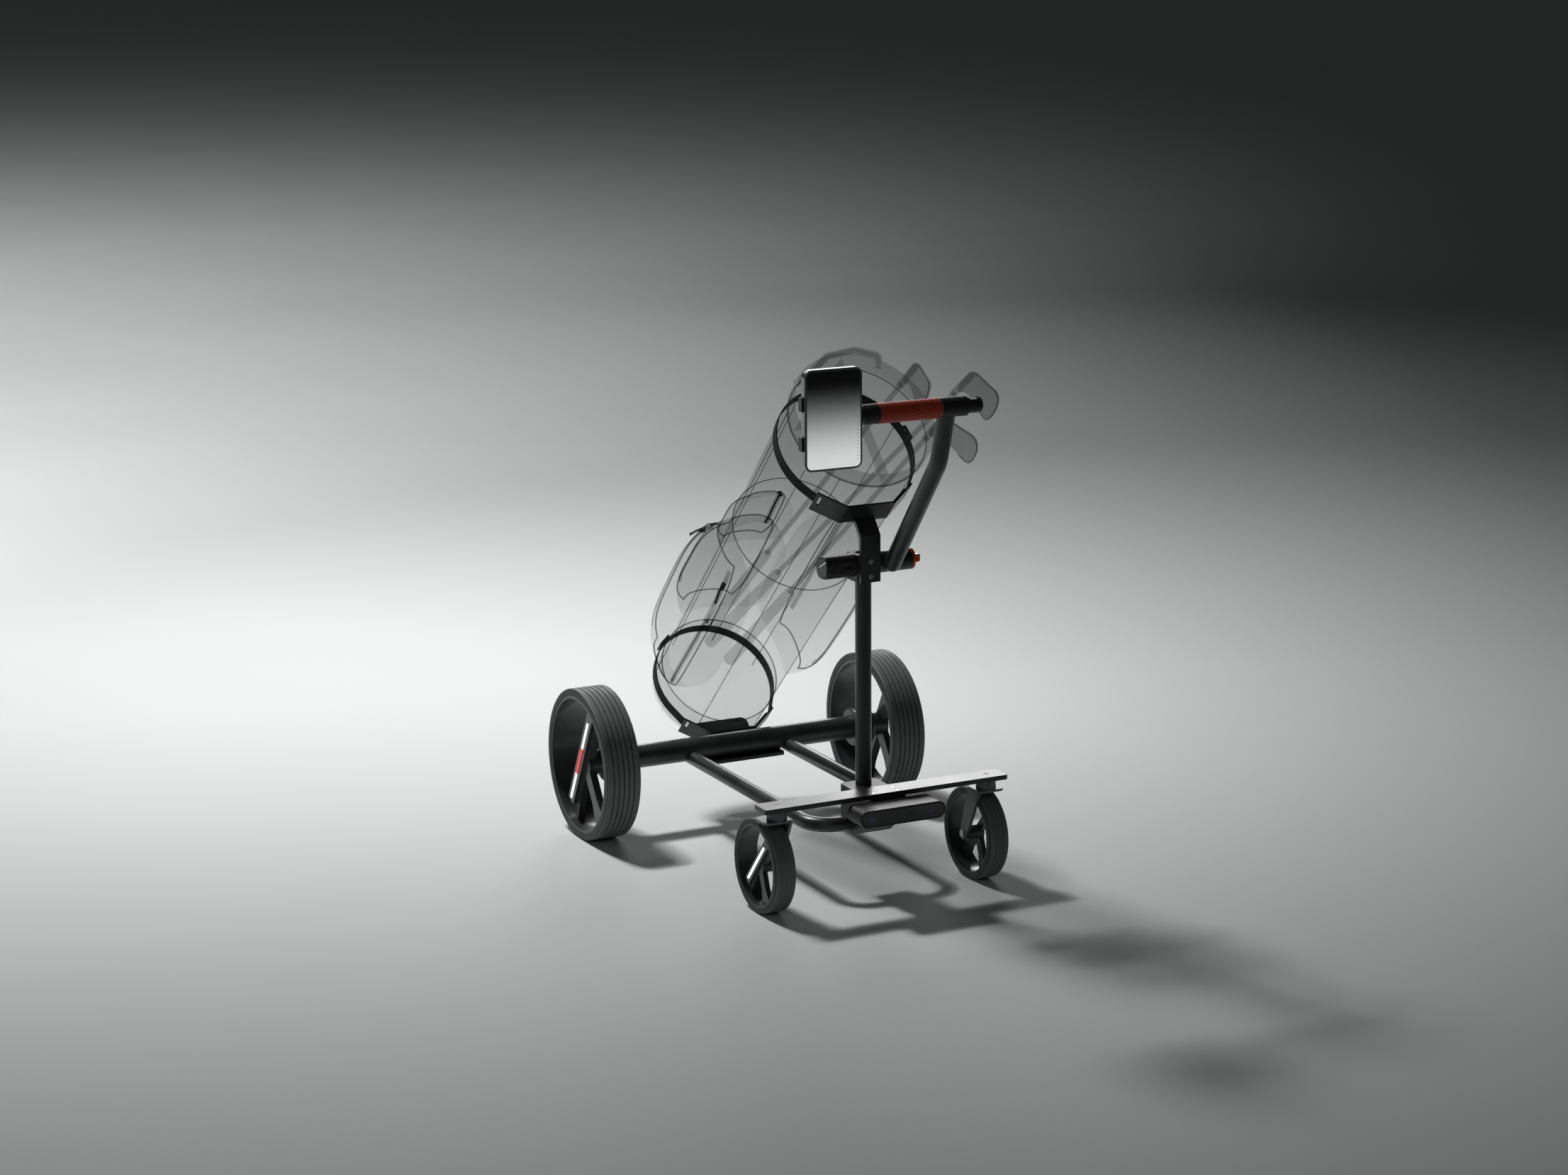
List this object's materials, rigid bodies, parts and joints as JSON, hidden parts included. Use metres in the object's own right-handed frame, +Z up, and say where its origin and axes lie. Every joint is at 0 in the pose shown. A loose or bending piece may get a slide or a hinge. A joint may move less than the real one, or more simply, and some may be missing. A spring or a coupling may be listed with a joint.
{
  "type": "golf push cart with bag",
  "caption": "Four-wheeled push cart with swivelling front casters, folding handle with display and red grip, carrying a strapped leaning golf bag with irons.",
  "frame": {"origin": "on the ground, under the middle of the overall box", "axes": "+X to the cart's right along the big wheels' axle (seen from the handle end), +Y from the handle end to the big wheels, +Z up"},
  "size_m": [0.673, 0.9856, 0.994],
  "materials": {
    "graphite_frame": "satin",
    "black_plastic": "matte",
    "gloss_window": "gloss",
    "lens": "gloss",
    "steel": "brushed",
    "tyre": "matte",
    "rim_plastic": "satin",
    "lamp": "gloss",
    "motor_shell": "satin",
    "pad_foam": "matte",
    "webbing": "woven",
    "red_grip": "textured",
    "red_plastic": "satin",
    "screen_glass": "gloss",
    "case_metal": "satin",
    "smoke_shell": "translucent",
    "smoke_fabric": "translucent",
    "club_smoke": "satin"
  },
  "bodies": {
    "frame": {"axle_tube": "graphite_frame", "base_tube": "graphite_frame", "axle_saddle": "graphite_frame", "upright_tube": "graphite_frame", "cross_bar": "graphite_frame", "front_hub_housing": "black_plastic", "sensor_body": "black_plastic", "sensor_window": "gloss_window", "sensor_lenses": "lens", "hub_motors": "motor_shell", "wheel_spindles": "steel", "lower_cradle": "graphite_frame", "lower_cradle_pads": "pad_foam", "bag_foot_stop": "black_plastic", "lower_strap": "webbing", "lower_strap_buckle": "black_plastic", "upright_clamp": "black_plastic", "cradle_stem": "graphite_frame", "upper_cradle": "graphite_frame", "upper_cradle_pads": "pad_foam", "upper_strap": "webbing", "upper_strap_buckle": "black_plastic", "frame_screws": "steel", "control_box": "black_plastic", "hinge_shaft": "steel", "bag_base_cup": "smoke_shell", "bag_tube": "smoke_fabric", "bag_top_collar": "smoke_shell", "bag_left_pocket": "smoke_fabric", "bag_right_pocket": "smoke_fabric", "bag_front_pockets": "smoke_fabric"},
    "left_wheel": {"left_tyre": "tyre", "left_wheel_rim": "rim_plastic", "left_wheel_lamp": "lamp"},
    "left_caster_swivel": {"left_caster_fork": "graphite_frame", "left_caster_bolt": "steel"},
    "left_caster_wheel": {"left_caster_rim": "rim_plastic", "left_caster_tyre": "tyre"},
    "right_wheel": {"right_tyre": "tyre", "right_wheel_rim": "rim_plastic", "right_wheel_lamp": "lamp"},
    "right_caster_swivel": {"right_caster_fork": "graphite_frame", "right_caster_bolt": "steel"},
    "right_caster_wheel": {"right_caster_rim": "rim_plastic", "right_caster_tyre": "tyre"},
    "handle": {"hinge_sleeve": "graphite_frame", "handle_tube": "graphite_frame", "grip_bar": "graphite_frame", "handle_grip": "red_grip", "grip_collars": "black_plastic"},
    "thumb_dial": {"thumb_control": "black_plastic"},
    "display": {"display_case": "case_metal", "display_glass": "screen_glass", "display_clips": "black_plastic", "display_bracket": "black_plastic"},
    "lock_lever": {"lock_lever": "red_plastic"},
    "control_button": {"control_button": "black_plastic"},
    "iron_short": {"iron_short": "club_smoke"},
    "iron_middle": {"iron_middle": "club_smoke"},
    "iron_long": {"iron_long": "club_smoke"}
  },
  "joints": [
    {"name": "left_wheel_spin", "type": "hinge", "parent": "frame", "child": "left_wheel", "pos_m": [-0.302, 0.28283, 0.145], "axis": [1, 0, 0], "continuous": true},
    {"name": "left_caster_turn", "type": "hinge", "parent": "frame", "child": "left_caster_swivel", "pos_m": [-0.21, -0.31377, 0.19], "axis": [0, 0, 1], "continuous": true},
    {"name": "left_caster_spin", "type": "hinge", "parent": "left_caster_swivel", "child": "left_caster_wheel", "pos_m": [-0.214, -0.27277, 0.0854], "axis": [1, 0, 0], "continuous": true},
    {"name": "right_wheel_spin", "type": "hinge", "parent": "frame", "child": "right_wheel", "pos_m": [0.302, 0.28283, 0.145], "axis": [1, 0, 0], "continuous": true},
    {"name": "right_caster_turn", "type": "hinge", "parent": "frame", "child": "right_caster_swivel", "pos_m": [0.21, -0.31377, 0.19], "axis": [0, 0, 1], "continuous": true},
    {"name": "right_caster_spin", "type": "hinge", "parent": "right_caster_swivel", "child": "right_caster_wheel", "pos_m": [0.214, -0.27277, 0.0854], "axis": [1, 0, 0], "continuous": true},
    {"name": "handle_fold", "type": "hinge", "parent": "frame", "child": "handle", "pos_m": [0.0563, -0.24077, 0.6], "axis": [1, 0, 0], "range_deg": [0, 118]},
    {"name": "display_tilt", "type": "hinge", "parent": "handle", "child": "display", "pos_m": [-0.144, -0.46077, 0.907], "axis": [1, 0, 0], "range_deg": [-20, 20]},
    {"name": "thumb_dial_turn", "type": "hinge", "parent": "handle", "child": "thumb_dial", "pos_m": [0.09, -0.46077, 0.907], "axis": [1, 0, 0], "range_deg": [-60, 60]},
    {"name": "lock_lever_turn", "type": "hinge", "parent": "frame", "child": "lock_lever", "pos_m": [0.093, -0.24077, 0.6], "axis": [1, 0, 0], "range_deg": [0, 90]},
    {"name": "control_button_press", "type": "slide", "parent": "frame", "child": "control_button", "axis": [0, 1, 0], "range_m": [0, 0.0015], "stiffness_N_per_m": 600},
    {"name": "iron_short_draw", "type": "slide", "parent": "frame", "child": "iron_short", "axis": [0.1287, -0.7485, 0.6506], "range_m": [0, 0.9]},
    {"name": "iron_middle_draw", "type": "slide", "parent": "frame", "child": "iron_middle", "axis": [0.0994, -0.7445, 0.6602], "range_m": [0, 0.9]},
    {"name": "iron_long_draw", "type": "slide", "parent": "frame", "child": "iron_long", "axis": [0.1958, -0.7401, 0.6433], "range_m": [0, 0.85]}
  ]
}
